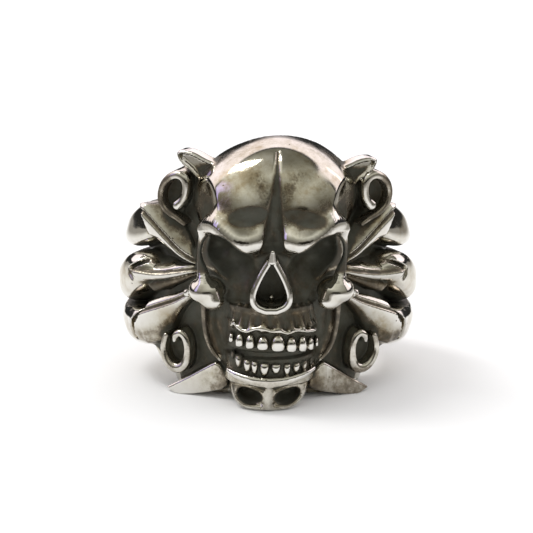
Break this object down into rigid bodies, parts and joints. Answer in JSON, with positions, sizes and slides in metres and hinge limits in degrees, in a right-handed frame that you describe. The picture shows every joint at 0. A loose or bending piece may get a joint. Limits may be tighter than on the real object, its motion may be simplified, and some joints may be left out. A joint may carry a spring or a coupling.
{
  "type": "skull ring",
  "caption": "Cast finger ring whose face is a human skull with folded leaves spreading round the sides, scrolls, leaf tips and a small skull under the chin.",
  "frame": {"origin": "on the axis of the finger hole, half way up the back of the band", "axes": "+Z along the finger hole towards the crown of the skull, -Y out of the skull's face, +X to the face's right as seen by the viewer; the ring stands on its lower rim at Z = -10.2 mm"},
  "size_m": [0.0318, 0.0318, 0.0277],
  "materials": {
    "silver": "polished sterling silver with dark oxidised recesses"
  },
  "bodies": {
    "root": {"ring": "silver"}
  },
  "joints": []
}
